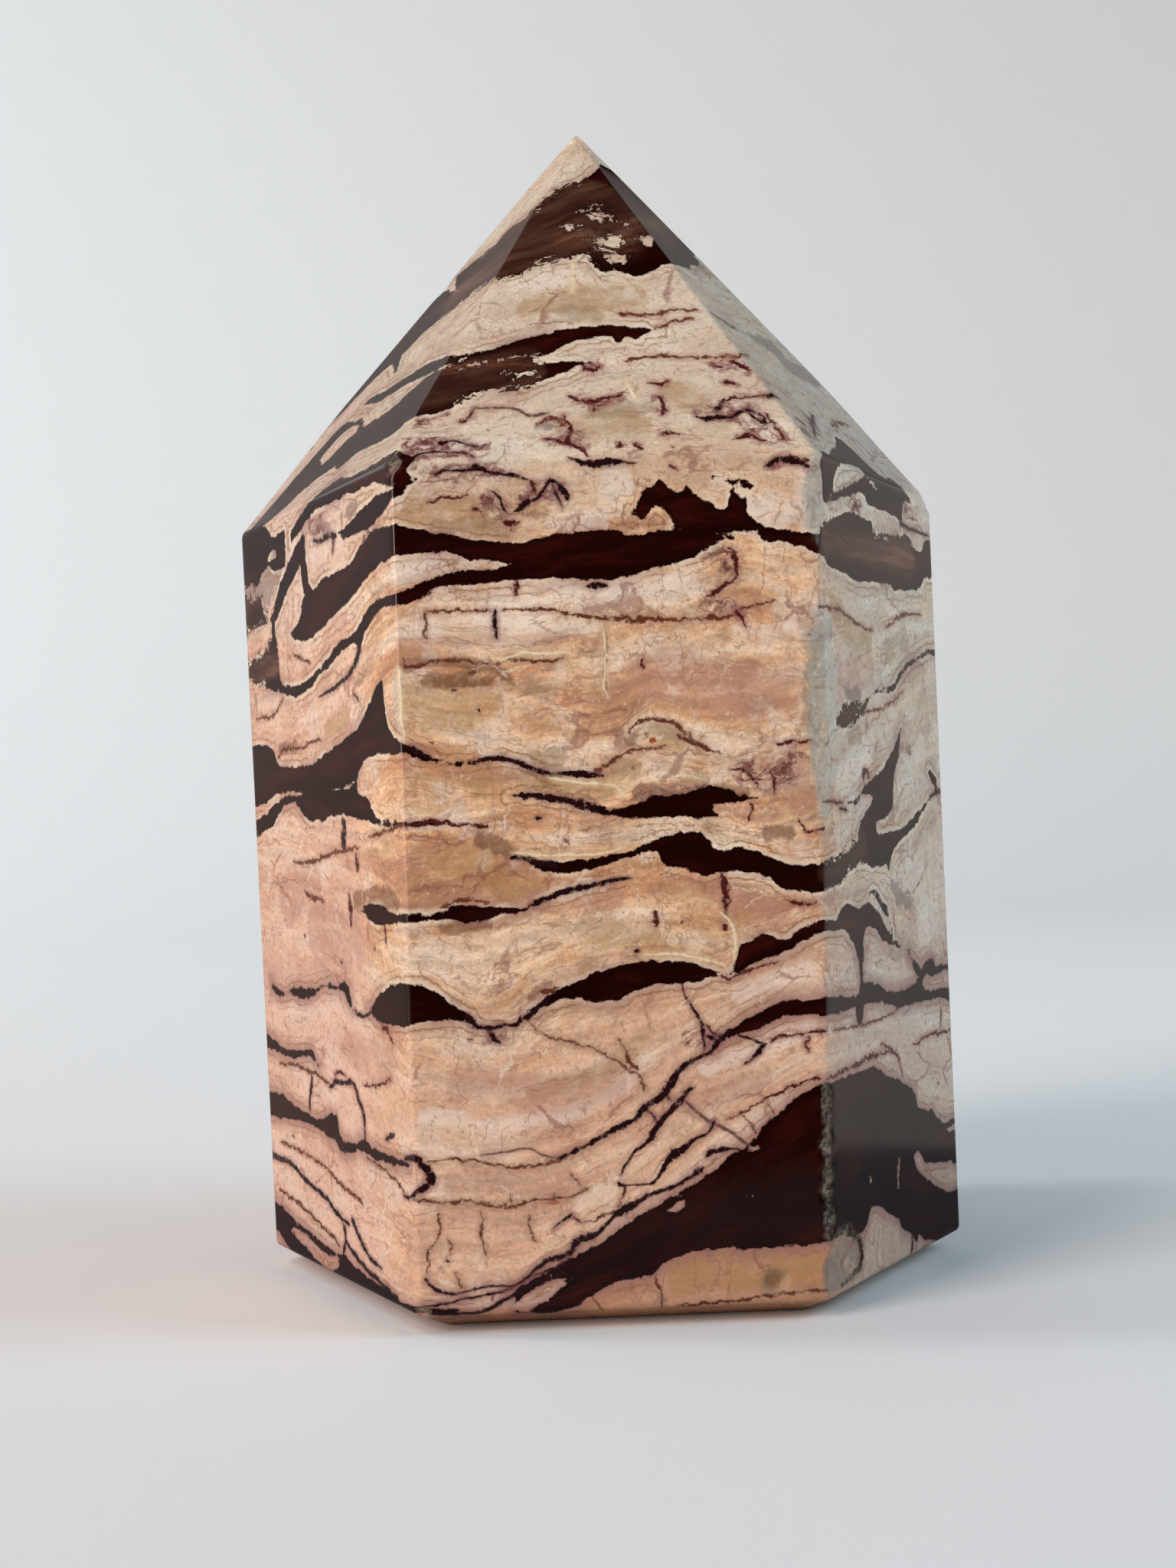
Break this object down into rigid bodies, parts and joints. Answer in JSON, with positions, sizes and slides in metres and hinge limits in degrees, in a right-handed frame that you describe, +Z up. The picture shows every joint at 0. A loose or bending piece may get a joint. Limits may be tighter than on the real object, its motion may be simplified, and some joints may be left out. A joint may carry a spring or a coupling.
{
  "type": "zebra jasper tower",
  "caption": "Polished stone tower with a pointed cap and a bevelled flat foot, cream stone with dark brown bands.",
  "frame": {"origin": "on the surface the tower stands on, under the middle of its outline", "axes": "+Z up along the tower to its point; -Y is the way the front face looks, the face towards the camera in the picture; +X to the right as seen from there"},
  "size_m": [0.0618, 0.0526, 0.1],
  "materials": {
    "polished_jasper": "polished, cream to peach stone with dark maroon-brown bands, veins and cracks"
  },
  "bodies": {
    "root": {"tower": "polished_jasper"}
  },
  "joints": []
}
